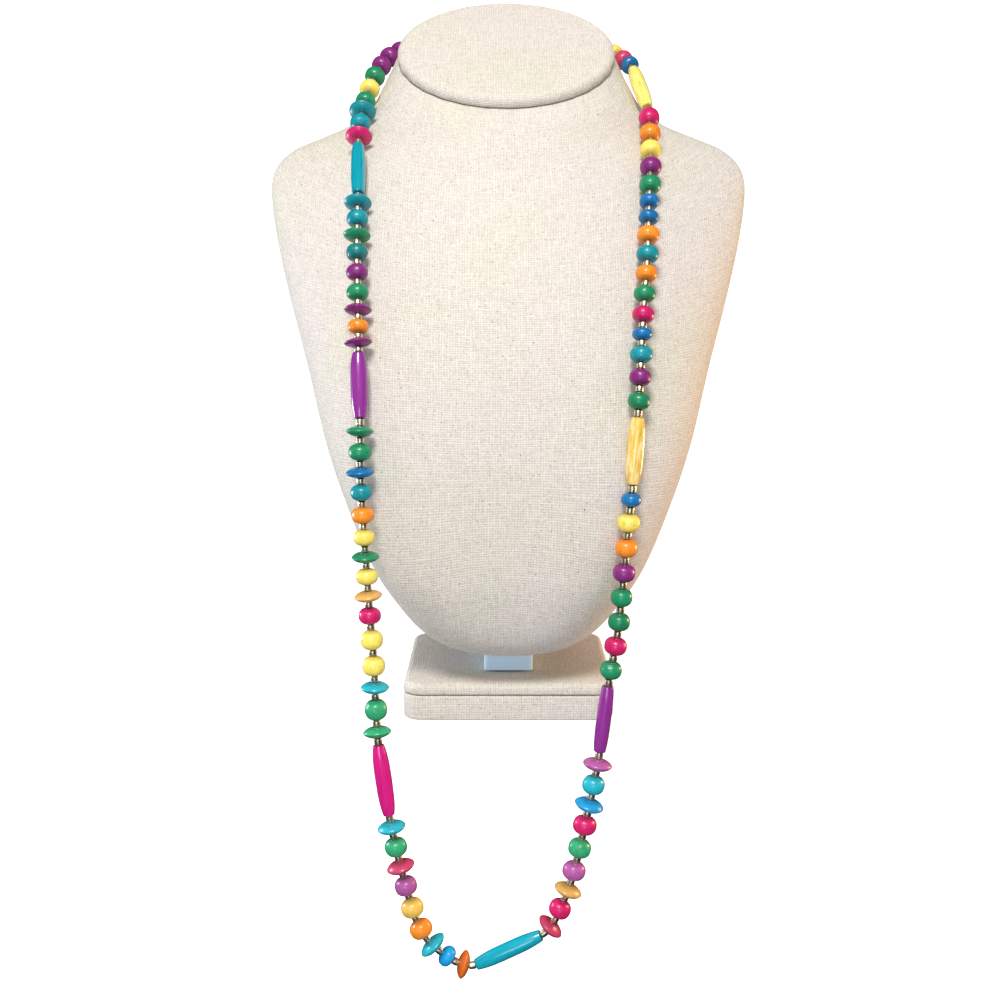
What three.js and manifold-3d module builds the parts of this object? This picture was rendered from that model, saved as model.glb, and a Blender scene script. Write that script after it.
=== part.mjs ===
// A long beaded necklace worn by a linen-covered neck bust on its small base.
// Millimetres. X runs to the viewer's right, Y to the back, Z up. The origin is on the base's
// underside, under the bust's middle. The necklace hangs in front of the base, lower than it.
import * as THREE from 'three'
import { mergeVertices } from 'three/addons/utils/BufferGeometryUtils.js'
import Module from 'manifold-3d'

const GAP = 0.3 // clearance between pieces that touch on the real object

// Base
const BASE_WIDTH = 89
const BASE_FRONT = -51
const BASE_BACK = 37
const BASE_CORNER = 8 // radius of the four upright corners
const SLAB_TOP = 10.5
const PAD_TOP = 16.5
const PAD_ROLL = 2.4 // radius of the pad's rolled edge
const BLOCK_WIDTH = 21
const BLOCK_FRONT = -34
const BLOCK_BACK = 26

// Neck cap
const CAP_THICKNESS = 5
const CAP_RIM = 1.8 // radius of the cap's rounded rim

// Beads: across the thread, and along it
const ROUND = { diameter: 9.2, length: 7.3 }
const LONG_ROUND = { diameter: 9.4, length: 8.6 }
const SMALL_ROUND = { diameter: 8, length: 5.6 }
const DISC = { diameter: 11.2, length: 4.7 }
const SPACER = { diameter: 3.2, length: 2.8 }
const TUBE = { diameter: 7, endDiameter: 5.2, bore: 2 }
const THREAD_DIAMETER = 1
const BEAD_FACE = 4 // diameter of the flat that a round or a disc shows to its spacer
const BEAD_SIDES = 8
const ROD_SIDES = 6 // spacers and thread
const TUBE_SIDES = 12

// The bust as sections from its tip to the top of its neck. Each section is a plane that
// rises from the front (zFront) to the back (zBack), since the neck's top slants. In it lies a
// rounded outline: widest at yWide, reaching yFront and yBack on the centre line. The squareness
// is the exponent of the outline's front and back halves: 2 is an ellipse, more is boxier. ridge
// is the share of the front's reach that is a rounded ridge, where the neck grows out of the chest.
// lean moves a section to the right, and the neck leans a little to the left.
const BUST_COLUMNS = [
  'zFront', 'zBack', 'yFront', 'yWide', 'yBack', 'halfWidth', 'squareFront', 'squareBack', 'ridge', 'lean',
]
const BUST_SECTIONS = [
  [29, 29, -54, -6, 46, 20, 2.6, 6, 0, 0], // flat underside of the tip
  [31, 31, -60, -6, 49, 31, 2.8, 6, 0, 0],
  [37, 37, -66, -7, 51, 40, 3, 7, 0, 0],
  [48, 48, -71, -7, 52, 48.5, 3.4, 7, 0, 0],
  [64, 64, -75, -8, 52, 58, 3.8, 7, 0, 0],
  [87, 87, -77, -8, 52, 67.5, 3.8, 7, 0, 0], // fullest part of the chest
  [114, 114, -77, -8, 52, 77, 3.4, 7, 0, 0],
  [146, 146, -73, -6, 52, 85.7, 2.7, 7, 0, 0],
  [175, 175, -65, -4, 52, 94, 2.2, 7, 0.03, 0],
  [200, 200, -54, 0, 52, 100, 2, 6, 0.12, 0],
  [220, 222, -43, 6, 52, 103.3, 2, 5, 0.34, 0], // widest part of the shoulders
  [231, 233, -36.5, 10, 52, 101.5, 2, 4, 0.5, 0],
  [237.5, 242, -33, 14, 52, 94, 2, 3.2, 0.55, 0],
  [241.5, 249, -30.5, 16, 52, 81, 2, 2.8, 0.48, 0], // shoulder tops
  [244.5, 257, -28, 16, 52, 68, 2, 2.4, 0.26, -0.5],
  [247, 269.5, -25.5, 16, 52.3, 58.9, 2, 2.2, 0.08, -0.8], // foot of the neck
  [249, 282.5, -23.3, 16.5, 52.8, 54.3, 2, 2, 0, -0.9],
  [251, 294.5, -21.2, 17, 53.4, 50.6, 2, 2, 0, -0.9],
  [253, 306, -19, 18, 54, 47.5, 2, 2, 0, -0.9], // slanted top of the neck
]

// The thread's way round, starting at the bottom tube and going up the left strand, behind
// the neck and down the right strand. Each tube bead is straight between its two ends, and the
// stretch after it runs through the listed points to the next tube. beads lists that stretch:
// r is a round bead, l a longer one, s a small one and d a disc. crowd is how much further apart
// the stretch's first beads sit than its last ones.
const NECKLACE = [
  {
    tube: 'tube_turquoise_bottom', color: 0x27b9cb, ends: [[13.4, -75.5, -83.8], [-13.5, -75.5, -96.9]],
    stretch: 'strand_left_lower', beads: 'd s d r r r d r d',
    through: [[-25.9, -75.5, -92.6], [-36, -75.5, -81.8], [-42.5, -75.5, -61]],
  },
  {
    tube: 'tube_magenta_left', color: 0xd34578, ends: [[-48.7, -75.5, -31.8], [-52.6, -75.5, -2.2]],
    stretch: 'strand_left_middle', beads: 'd l d l l r d r d r r r d r d', crowd: 0.1,
    through: [[-54, -75.5, 31], [-55.6, -75.5, 56], [-57, -76, 84], [-58, -76.5, 109]],
  },
  {
    tube: 'tube_purple_left', color: 0x8a3c86, ends: [[-58, -75, 129.7], [-58.8, -69, 155]],
    stretch: 'strand_left_upper', beads: 'd r d r r r d r d', crowd: -0.2,
    through: [[-59.4, -62.5, 173], [-60.6, -51.5, 194.8]],
  },
  {
    tube: 'tube_teal_left', color: 0x2ea3a6, ends: [[-61.2, -37.5, 217.6], [-62.6, -20, 238.6]],
    stretch: 'strand_neck', beads: 'd r d r r r r r r r r r r r r r r r r r r r s',
    through: [
      [-62.3, -7, 252.2], [-60.9, 5.5, 261.8], [-58.3, 16.5, 272], [-51.5, 34, 284], [-36, 54, 289.5],
      [0, 61, 291], [33, 55, 289.5], [47, 41, 286], [52.6, 28.5, 279.5],
    ],
  },
  {
    tube: 'tube_yellow_right_upper', color: 0xf3e487, ends: [[55.1, 18.5, 274.9], [59.4, -2, 256]],
    stretch: 'strand_right_upper', beads: 'r r r r r s s r r r r r s r r r', crowd: 0.22,
    through: [
      [59.3, -14.5, 244.8], [58.2, -29.8, 229.2], [56.5, -42, 213],
      [54.9, -54.5, 193], [52.4, -66, 170], [50.8, -73.5, 147],
    ],
  },
  {
    tube: 'tube_yellow_right_lower', color: 0xf0d78a, ends: [[49.8, -76.5, 130.4], [48, -78, 104.1]],
    stretch: 'strand_right_middle', beads: 's r r r r r r r',
    through: [[46.6, -78, 88], [45, -77, 66], [43, -76, 43]],
  },
  {
    tube: 'tube_purple_right', color: 0x8a4a94, ends: [[39.6, -75.5, 22.4], [36.6, -75.5, -5]],
    stretch: 'strand_right_lower', beads: 'd r d r r r d r d',
    through: [[32.7, -75.5, -27], [26.4, -75.5, -57], [20.8, -75.5, -72.6]],
  },
]
const KINDS = { r: ROUND, l: LONG_ROUND, s: SMALL_ROUND, d: DISC }

// Materials
const matt = (color, roughness) => new THREE.MeshStandardMaterial({ color, roughness, metalness: 0 })
const LINEN = matt(0xe9dfd0, 0.95)
const BLOCK_PAINT = matt(0xf2f3f6, 0.6)
const STRAND_MATERIALS = {
  strand_left_lower: matt(0xd27a3c, 0.45),
  strand_left_middle: matt(0xf2da70, 0.45),
  strand_left_upper: matt(0x2f8c66, 0.45),
  strand_neck: matt(0x2f8f96, 0.45),
  strand_right_upper: matt(0xe58d4c, 0.45),
  strand_right_middle: matt(0x3a9468, 0.45),
  strand_right_lower: matt(0xc54470, 0.45),
}

// Booleans
const wasm = await Module()
wasm.setup()

function solidOf(geometry) {
  const bare = geometry.clone()
  bare.deleteAttribute('normal')
  bare.deleteAttribute('uv')
  const merged = mergeVertices(bare, 1e-4)
  return new wasm.Manifold(new wasm.Mesh({
    numProp: 3,
    vertProperties: new Float32Array(merged.attributes.position.array),
    triVerts: new Uint32Array(merged.index.array),
  }))
}

function geometryOf(solid) {
  const mesh = solid.getMesh()
  const geometry = new THREE.BufferGeometry()
  geometry.setAttribute('position', new THREE.BufferAttribute(mesh.vertProperties, 3))
  geometry.setIndex(new THREE.BufferAttribute(mesh.triVerts, 1))
  geometry.computeVertexNormals()
  return geometry
}

function named(name, geometry, material) {
  const mesh = new THREE.Mesh(geometry, material)
  mesh.name = name
  return mesh
}

// Smooth value between rows b and c of a table, with a and d as their outer neighbours
function smoothBetween(a, b, c, d, t) {
  const into = (c - a) / 2
  const out = (d - b) / 2
  return b + t * (into + t * (3 * (c - b) - 2 * into - out + t * (2 * (b - c) + into + out)))
}

function bustSection(position) {
  const last = BUST_SECTIONS.length - 1
  const row = Math.min(Math.floor(position), last - 1)
  const rows = [-1, 0, 1, 2].map(k => BUST_SECTIONS[THREE.MathUtils.clamp(row + k, 0, last)])
  const entry = (name, k) => [name, smoothBetween(...rows.map(r => r[k]), position - row)]
  return Object.fromEntries(BUST_COLUMNS.map(entry))
}

// Point of a section at an angle: 0 is the right side, and the back half is the positive half
function bustPoint(section, angle) {
  const isBack = Math.sin(angle) > 0
  const power = 2 / (isBack ? section.squareBack : section.squareFront)
  const across = Math.sign(Math.cos(angle)) * Math.abs(Math.cos(angle)) ** power
  const oval = Math.abs(Math.sin(angle)) ** power
  const front = (1 - section.ridge) * oval + section.ridge * (1 - across ** 2) ** 2
  const reach = isBack ? (section.yBack - section.yWide) * oval : (section.yFront - section.yWide) * front
  const y = section.yWide + reach
  const rise = (section.zBack - section.zFront) / (section.yBack - section.yFront)
  return [section.lean + section.halfWidth * across, y, section.zFront + rise * (y - section.yFront)]
}

// Closed loft: rings of points, each end closed by a fan to the ring's middle
function bustForm() {
  const around = 40
  const stepsPerSection = 1.5
  const rings = Math.round((BUST_SECTIONS.length - 1) * stepsPerSection) + 1
  const positions = []
  const triangles = []
  for (let ring = 0; ring < rings; ring++) {
    const section = bustSection((BUST_SECTIONS.length - 1) * ring / (rings - 1))
    for (let k = 0; k < around; k++) positions.push(...bustPoint(section, 2 * Math.PI * k / around))
  }
  const at = (ring, k) => ring * around + k % around
  for (let ring = 0; ring < rings - 1; ring++) {
    for (let k = 0; k < around; k++) {
      triangles.push(at(ring, k), at(ring, k + 1), at(ring + 1, k + 1))
      triangles.push(at(ring, k), at(ring + 1, k + 1), at(ring + 1, k))
    }
  }
  const tip = positions.length / 3
  const top = tip + 1
  for (const row of [BUST_SECTIONS[0], BUST_SECTIONS.at(-1)]) {
    positions.push(row[9], (row[2] + row[4]) / 2, (row[0] + row[1]) / 2)
  }
  for (let k = 0; k < around; k++) {
    triangles.push(tip, at(0, k + 1), at(0, k))
    triangles.push(top, at(rings - 1, k), at(rings - 1, k + 1))
  }
  const geometry = new THREE.BufferGeometry()
  geometry.setAttribute('position', new THREE.Float32BufferAttribute(positions, 3))
  geometry.setIndex(triangles)
  geometry.computeVertexNormals()
  return named('bust_form', geometry, LINEN)
}

// Padded oval that closes the slanted top of the neck
function neckCap() {
  const top = bustSection(BUST_SECTIONS.length - 1)
  const slant = Math.atan2(top.zBack - top.zFront, top.yBack - top.yFront)
  const halfLength = Math.hypot(top.zBack - top.zFront, top.yBack - top.yFront) / 2
  const radius = top.halfWidth
  const rimArc = (centreHeight, fromAngle) => [0, 1, 2].map(k => {
    const angle = fromAngle + k * Math.PI / 4
    const x = radius - CAP_RIM + CAP_RIM * Math.cos(angle)
    return new THREE.Vector2(x, centreHeight + CAP_RIM * Math.sin(angle))
  })
  const crown = CAP_THICKNESS + 0.8
  const profile = [
    new THREE.Vector2(0, 0),
    ...rimArc(CAP_RIM, -Math.PI / 2),
    ...rimArc(CAP_THICKNESS - CAP_RIM, 0),
    new THREE.Vector2(radius * 0.6, crown - 0.2),
    new THREE.Vector2(0, crown),
  ]
  const mesh = named('neck_cap', new THREE.LatheGeometry(profile, 40), LINEN)
  mesh.scale.set(1, 1, halfLength / radius)
  mesh.rotation.x = Math.PI / 2 + slant
  const lift = new THREE.Vector3(0, -Math.sin(slant), Math.cos(slant)).multiplyScalar(GAP)
  mesh.position.set(top.lean, (top.yFront + top.yBack) / 2, (top.zFront + top.zBack) / 2).add(lift)
  return mesh
}

function baseOutline(inset) {
  const x = BASE_WIDTH / 2 - inset
  const front = BASE_FRONT + inset
  const back = BASE_BACK - inset
  const r = BASE_CORNER - inset
  const outline = new THREE.Shape()
  outline.absarc(x - r, back - r, r, 0, Math.PI / 2)
  outline.absarc(-x + r, back - r, r, Math.PI / 2, Math.PI)
  outline.absarc(-x + r, front + r, r, Math.PI, 1.5 * Math.PI)
  outline.absarc(x - r, front + r, r, 1.5 * Math.PI, 2 * Math.PI)
  outline.closePath()
  return outline
}

function baseSlab() {
  const options = { depth: SLAB_TOP, bevelEnabled: false, curveSegments: 4 }
  return named('base_slab', new THREE.ExtrudeGeometry(baseOutline(0), options), LINEN)
}

function basePad() {
  const depth = PAD_TOP - SLAB_TOP - GAP - 2 * PAD_ROLL
  const roll = { bevelThickness: PAD_ROLL, bevelSize: PAD_ROLL, bevelSegments: 2 }
  const pad = new THREE.ExtrudeGeometry(baseOutline(PAD_ROLL), { depth, curveSegments: 4, ...roll })
  const mesh = named('base_pad', pad, LINEN)
  mesh.position.z = SLAB_TOP + GAP + PAD_ROLL
  return mesh
}

// Block that carries the bust on the base
function supportBlock() {
  const bottom = PAD_TOP + GAP
  const top = BUST_SECTIONS[0][0] - GAP
  const box = new THREE.BoxGeometry(BLOCK_WIDTH, BLOCK_BACK - BLOCK_FRONT, top - bottom)
  const mesh = named('support_block', box, BLOCK_PAINT)
  mesh.position.set(0, (BLOCK_FRONT + BLOCK_BACK) / 2, (bottom + top) / 2)
  return mesh
}

// The thread's route as one closed curve, and how far along it each tube's ends lie
const routePoints = NECKLACE.flatMap(part => [...part.ends, ...part.through])
  .map(p => new THREE.Vector3(...p))
const route = new THREE.CatmullRomCurve3(routePoints, true, 'catmullrom', 0.5)
const STEPS_PER_POINT = 60
route.arcLengthDivisions = routePoints.length * STEPS_PER_POINT
const routeLengths = route.getLengths()
const routeLength = route.getLength()

function pointAlong(distance) {
  return route.getPointAt((distance % routeLength) / routeLength)
}

function distanceAtPoint(index) {
  return routeLengths[index * STEPS_PER_POINT]
}

// Moves a solid of revolution, turned round Y at the origin, so that it lies from a to b
function laidAlong(geometry, a, b) {
  const direction = b.clone().sub(a).normalize()
  const turn = new THREE.Quaternion().setFromUnitVectors(new THREE.Vector3(0, 1, 0), direction)
  return geometry.applyQuaternion(turn).translate(...a.clone().add(b).divideScalar(2).toArray())
}

function rod(diameter, a, b) {
  const radius = diameter / 2
  const cylinder = new THREE.CylinderGeometry(radius, radius, a.distanceTo(b), ROD_SIDES)
  return solidOf(laidAlong(cylinder, a, b))
}

// The lower half of a profile and its mirror image
function mirrored(lowerHalf) {
  const upperHalf = lowerHalf.toReversed().map(([x, y]) => [x, -y])
  return [...lowerHalf, ...upperHalf]
}

function turned(profile, sides) {
  return new THREE.LatheGeometry(profile.map(p => new THREE.Vector2(...p)), sides)
}

function bead(kind, a, b) {
  const half = a.distanceTo(b) / 2
  const radius = kind.diameter / 2
  const shoulder = kind === DISC ? [radius, -0.2 * half] : [0.93 * radius, -0.45 * half]
  const middle = kind === DISC ? [] : [[radius, 0]]
  const lowerHalf = [[0, -half], [BEAD_FACE / 2, -half], shoulder]
  const upperHalf = mirrored(lowerHalf).slice(lowerHalf.length)
  return solidOf(laidAlong(turned([...lowerHalf, ...middle, ...upperHalf], BEAD_SIDES), a, b))
}

// Barrel-shaped tube bead with its bore open from end to end
function tubeBead(part, a, b) {
  const half = a.distanceTo(b) / 2
  const bore = TUBE.bore / 2
  const radius = TUBE.diameter / 2
  const outside = [[TUBE.endDiameter / 2, -half], [0.92 * radius, -0.66 * half], [radius, -0.25 * half]]
  const profile = [...mirrored([[bore, -half], ...outside]), [bore, -half]]
  return named(part.tube, laidAlong(turned(profile, TUBE_SIDES), a, b), matt(part.color, 0.35))
}

// Points on a tube's axis, measured outwards from its end: the spacer's face, the spacer's
// middle, and the thread's end inside the tube, just short of the tube's middle
function tubeEnd(end, otherEnd) {
  const outwards = end.clone().sub(otherEnd).normalize()
  const at = distance => end.clone().addScaledVector(outwards, distance)
  return { face: at(GAP), knee: at(GAP + SPACER.length / 2), inside: at(GAP - end.distanceTo(otherEnd) / 2) }
}

// One stretch: beads with a spacer before, between and after them, and the thread's two ends,
// each lying half-way into the neighbouring tube. The lengths are eased to fill the stretch.
function strand(part, from, to, tubeBefore, tubeAfter) {
  const kinds = part.beads.split(' ').map(letter => KINDS[letter])
  const nominal = kinds.reduce((sum, kind) => sum + kind.length + SPACER.length, SPACER.length)
  const point = place => {
    const share = place / nominal
    const eased = share + (part.crowd ?? 0) * share * (1 - share) ** 2
    return pointAlong(from + GAP + (to - from - 2 * GAP) * eased)
  }
  const solids = []
  const centres = []
  let place = SPACER.length
  for (const kind of kinds) {
    const end = place + kind.length
    solids.push(bead(kind, point(place), point(end)))
    centres.push(point((place + end) / 2))
    place = end + SPACER.length
  }
  const first = tubeEnd(tubeBefore[1], tubeBefore[0])
  const last = tubeEnd(tubeAfter[0], tubeAfter[1])
  const stops = [first.face, first.knee, ...centres, last.knee, last.face]
  for (let k = 1; k < stops.length; k++) solids.push(rod(SPACER.diameter, stops[k - 1], stops[k]))
  solids.push(rod(THREAD_DIAMETER, first.inside, first.knee), rod(THREAD_DIAMETER, last.knee, last.inside))
  const whole = solids.reduce((sum, solid) => sum.add(solid))
  return named(part.stretch, geometryOf(whole), STRAND_MATERIALS[part.stretch])
}

function necklace() {
  const group = new THREE.Group()
  let index = 0
  const starts = NECKLACE.map(part => {
    const start = index
    index += part.ends.length + part.through.length
    return start
  })
  const tubes = NECKLACE.map(part => part.ends.map(p => new THREE.Vector3(...p)))
  NECKLACE.forEach((part, k) => {
    const next = (k + 1) % NECKLACE.length
    const from = distanceAtPoint(starts[k] + 1)
    const to = next === 0 ? routeLength : distanceAtPoint(starts[next])
    group.add(tubeBead(part, ...tubes[k]), strand(part, from, to, tubes[k], tubes[next]))
  })
  return group
}

const object = new THREE.Group()
object.add(baseSlab(), basePad(), supportBlock(), bustForm(), neckCap(), necklace())

export default object
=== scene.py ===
"""A long necklace of dyed beads on a linen neck bust: the finished look around the CAD frame.

Tables and shape functions are in millimetres, and each mesh is written in metres. X runs to the
viewer's right, Y to the back and Z up, from the base's underside below the bust's middle.
"""

import math

import bmesh
import bpy
import numpy as np
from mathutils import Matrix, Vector


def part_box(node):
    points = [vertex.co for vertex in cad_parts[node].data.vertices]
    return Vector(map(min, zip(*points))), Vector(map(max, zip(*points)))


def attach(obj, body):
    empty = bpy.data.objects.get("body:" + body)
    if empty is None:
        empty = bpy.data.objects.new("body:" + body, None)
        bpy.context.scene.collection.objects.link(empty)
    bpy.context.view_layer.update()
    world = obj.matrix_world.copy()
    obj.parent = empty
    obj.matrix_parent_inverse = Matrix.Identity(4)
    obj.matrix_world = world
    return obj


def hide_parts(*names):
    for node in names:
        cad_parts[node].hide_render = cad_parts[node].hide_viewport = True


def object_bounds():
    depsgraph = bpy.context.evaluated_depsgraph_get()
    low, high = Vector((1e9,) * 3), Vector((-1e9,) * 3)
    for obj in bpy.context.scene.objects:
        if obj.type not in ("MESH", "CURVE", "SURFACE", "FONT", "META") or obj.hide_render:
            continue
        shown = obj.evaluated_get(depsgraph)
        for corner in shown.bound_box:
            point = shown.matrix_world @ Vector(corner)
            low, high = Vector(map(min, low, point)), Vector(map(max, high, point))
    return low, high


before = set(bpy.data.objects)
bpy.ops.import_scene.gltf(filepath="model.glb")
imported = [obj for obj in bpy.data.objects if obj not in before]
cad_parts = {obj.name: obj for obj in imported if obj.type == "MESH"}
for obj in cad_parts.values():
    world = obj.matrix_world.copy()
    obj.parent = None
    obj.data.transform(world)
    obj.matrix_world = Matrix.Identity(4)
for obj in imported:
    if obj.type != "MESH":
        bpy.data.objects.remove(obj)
cad_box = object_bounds()

MM = 0.001
rng = np.random.default_rng(20)

# ---------------------------------------------------------------------------- sizes

# The bust's sections from its tip to the slanted top of its neck: the section plane's height at
# the front and back, the outline's front, widest and back lines, half its width, how square its
# front and back halves are, how much of the front is a rounded ridge, and how far it leans
# to the right.
BUST_SECTIONS = np.array([
    [29, 29, -54, -6, 46, 20, 2.6, 6, 0, 0],
    [31, 31, -60, -6, 49, 31, 2.8, 6, 0, 0],
    [37, 37, -66, -7, 51, 40, 3, 7, 0, 0],
    [48, 48, -71, -7, 52, 48.5, 3.4, 7, 0, 0],
    [64, 64, -75, -8, 52, 58, 3.8, 7, 0, 0],
    [87, 87, -77, -8, 52, 67.5, 3.8, 7, 0, 0],
    [114, 114, -77, -8, 52, 77, 3.4, 7, 0, 0],
    [146, 146, -73, -6, 52, 85.7, 2.7, 7, 0, 0],
    [175, 175, -65, -4, 52, 94, 2.2, 7, 0.03, 0],
    [200, 200, -54, 0, 52, 100, 2, 6, 0.12, 0],
    [220, 222, -43, 6, 52, 103.3, 2, 5, 0.34, 0],
    [231, 233, -36.5, 10, 52, 101.5, 2, 4, 0.5, 0],
    [237.5, 242, -33, 14, 52, 94, 2, 3.2, 0.55, 0],
    [241.5, 249, -30.5, 16, 52, 81, 2, 2.8, 0.48, 0],
    [244.5, 257, -28, 16, 52, 68, 2, 2.4, 0.26, -0.5],
    [247, 269.5, -25.5, 16, 52.3, 58.9, 2, 2.2, 0.08, -0.8],
    [249, 282.5, -23.3, 16.5, 52.8, 54.3, 2, 2, 0, -0.9],
    [251, 294.5, -21.2, 17, 53.4, 50.6, 2, 2, 0, -0.9],
    [253, 306, -19, 18, 54, 47.5, 2, 2, 0, -0.9],
])
CHEST_SECTION = 6  # the section whose row of threads runs level all the way round

GAP = 0.3  # clear space between neighbouring pieces

# The neck's cap: its thickness at the edge, how far its middle stands higher, and the radius of
# its rolled edge underneath and on top
CAP_THICKNESS = 5
CAP_CROWN = 0.9
CAP_ROLL_UNDER, CAP_ROLL_OVER = 1.5, 3.2

# The rounded corners of the base, the roll of the cloth over its pad and tucked under it, how
# far the pad's middle stands higher, the soft edges of the board and of the block, and the
# block's corners
BASE_CORNER = 8
PAD_ROLL = 2.6
PAD_TUCK = 1.2
PAD_CROWN = 0.7
SLAB_EDGE = 0.9
BLOCK_EDGE = 0.5
BLOCK_CORNER = 1.0

WEAVE = 1.1  # from one thread of the cloth to the next

# Beads, round, large round, small round and disc: half of the size across the thread, size along
# it, and the powers of the cosine and sine that draw the profile
BEAD_KINDS = {
    "r": (4.4, 7.3, 0.84, 0.86),
    "l": (4.5, 8.6, 0.85, 0.88),
    "s": (4.0, 5.6, 0.86, 0.9),
    "d": (5.6, 4.7, 0.95, 1.3),
}
BEAD_BORE = 0.85
BEAD_DIMPLE, BEAD_DIMPLE_WIDTH = 0.16, 1.2  # the dip round a bead's hole

# Hand finish of discs and of other beads: how lumpy and how deeply dented they are, and how far
# they lean on the thread
DISC_FINISH = np.array([0.006, 0.16, 0.045])
ROUND_FINISH = np.array([0.009, 0.42, 0.03])

SPACER_RADIUS = 1.6
SPACER_LENGTH = 2.8
SPACER_BORE = 0.75
SPACER_LIP = 0.38
TUBE_END_RADIUS = 2.4
TUBE_BORE = 1.0
TUBE_LIP = 0.55
TUBE_FULLNESS = 3.2  # how late a tube bead narrows towards its ends
THREAD_RADIUS = 0.45

# The thread's way round: each tube bead's name, dye, radius and two ends, and after it a stretch
# of beads, each a kind and a dye, through these points to the next tube. crowd is how much
# further apart the stretch's first beads sit than its last ones, and plump makes its beads bigger.
NECKLACE = [
    {
        "tube": "tube_turquoise_bottom", "dye": "turquoise_tube", "radius": 3.35,
        "ends": [(13.4, -75.5, -83.8), (-13.5, -75.5, -96.9)],
        "stretch": "left_lower", "plump": 1.07,
        "beads": """d:tan s:azure d:turquoise r:orange r:gold r:lilac d:rose r:leaf d:turquoise""",
        "through": [(-25.9, -75.5, -92.6), (-36, -75.5, -81.8), (-42.5, -75.5, -61)],
    },
    {
        "tube": "tube_magenta_left", "dye": "magenta_tube", "radius": 3.4,
        "ends": [(-48.7, -75.5, -31.8), (-52.6, -75.5, -2.2)],
        "stretch": "left_middle", "crowd": 0.1,
        "beads": """d:leaf l:leaf d:turquoise l:yellow l:yellow r:magenta d:sand r:yellow d:green
                    r:yellow r:orange r:teal d:blue r:green d:green""",
        "through": [(-54, -75.5, 31), (-55.6, -75.5, 56), (-57, -76, 84), (-58, -76.5, 109)],
    },
    {
        "tube": "tube_purple_left", "dye": "purple_tube", "radius": 3.4,
        "ends": [(-58, -75, 129.7), (-58.8, -69, 155)],
        "stretch": "left_upper", "crowd": -0.2,
        "beads": """d:plum r:orange d:plum r:green r:plum r:sea d:green r:teal d:teal""",
        "through": [(-59.4, -62.5, 173), (-60.6, -51.5, 194.8)],
    },
    {
        "tube": "tube_teal_left", "dye": "teal_tube", "radius": 3.0,
        "ends": [(-61.2, -37.5, 217.6), (-62.6, -20, 238.6)],
        "stretch": "neck",
        "beads": """d:magenta r:teal d:teal r:green r:yellow r:green r:plum r:plum r:plum r:orange
                    r:yellow r:green r:magenta r:blue r:orange r:plum r:teal r:yellow r:green
                    r:magenta r:yellow r:rose s:blue""",
        "through": [
            (-62.3, -7, 252.2), (-60.9, 5.5, 261.8), (-58.3, 16.5, 272), (-51.5, 34, 284),
            (-36, 54, 289.5), (0, 61, 291), (33, 55, 289.5), (47, 41, 286), (52.6, 28.5, 279.5),
        ],
    },
    {
        "tube": "tube_yellow_right_upper", "dye": "yellow_tube", "radius": 3.3,
        "ends": [(55.1, 18.5, 274.9), (59.4, -2, 256)],
        "stretch": "right_upper", "crowd": 0.22,
        "beads": """r:magenta r:orange r:yellow r:plum r:green s:blue s:blue r:orange r:teal
                    r:orange r:green r:magenta s:blue r:teal r:plum r:green""",
        "through": [
            (59.3, -14.5, 244.8), (58.2, -29.8, 229.2), (56.5, -42, 213),
            (54.9, -54.5, 193), (52.4, -66, 170), (50.8, -73.5, 147),
        ],
    },
    {
        "tube": "tube_yellow_right_lower", "dye": "ivory_tube", "radius": 3.45,
        "ends": [(49.8, -76.5, 130.4), (48, -78, 104.1)],
        "stretch": "right_middle",
        "beads": """s:blue r:yellow r:orange r:plum r:green r:green r:magenta r:green""",
        "through": [(46.6, -78, 88), (45, -77, 66), (43, -76, 43)],
    },
    {
        "tube": "tube_purple_right", "dye": "purple_tube", "radius": 3.0,
        "ends": [(39.6, -75.5, 22.4), (36.6, -75.5, -5)],
        "stretch": "right_lower", "plump": 1.06,
        "beads": """d:lilac r:turquoise d:azure r:magenta r:leaf r:lilac d:sand r:magenta d:rose""",
        "through": [(32.7, -75.5, -27), (26.4, -75.5, -57), (20.8, -75.5, -72.6)],
    },
]

# The dyes' own colours (sRGB)
DYES = {
    "plum": (0.52, 0.14, 0.47), "lilac": (0.69, 0.34, 0.62), "green": (0.09, 0.54, 0.36),
    "leaf": (0.19, 0.66, 0.45), "yellow": (0.97, 0.88, 0.40), "gold": (0.89, 0.73, 0.33),
    "sand": (0.85, 0.66, 0.35), "teal": (0.02, 0.57, 0.62), "turquoise": (0.11, 0.68, 0.75),
    "magenta": (0.81, 0.07, 0.40), "rose": (0.78, 0.23, 0.39), "orange": (0.95, 0.55, 0.12),
    "tan": (0.89, 0.43, 0.10), "blue": (0.01, 0.44, 0.68), "azure": (0.02, 0.62, 0.87),
    "sea": (0.08, 0.49, 0.49),
    "turquoise_tube": (0.01, 0.64, 0.72), "magenta_tube": (0.83, 0.09, 0.50),
    "purple_tube": (0.55, 0.18, 0.56), "teal_tube": (0.01, 0.59, 0.66),
    "yellow_tube": (0.96, 0.90, 0.44), "ivory_tube": (0.93, 0.78, 0.37),
}

# The linen's colours in linear light; the hollow colour is painted shade for the hollows between the
# threads
LINEN_PALE, LINEN_FAWN = (0.715, 0.656, 0.615), (0.622, 0.562, 0.522)
LINEN_HOLLOW_SHADE, LINEN_SPECK = (0.34, 0.295, 0.265), (0.12, 0.10, 0.08)


# ---------------------------------------------------------------------------- meshes

def write_mesh(name, points, faces, loop_uv=None):
    """A mesh object from points in millimetres and an array of quads."""
    mesh = bpy.data.meshes.new(name)
    mesh.from_pydata((points.reshape(-1, 3) * MM).tolist(), [], faces.tolist())
    if loop_uv is not None:
        layer = mesh.uv_layers.new(name="cloth")
        layer.data.foreach_set("uv", loop_uv.astype(np.float32).ravel())
    piece = bpy.data.objects.new(name, mesh)
    bpy.context.scene.collection.objects.link(piece)
    mesh.shade_smooth()
    return piece


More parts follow.
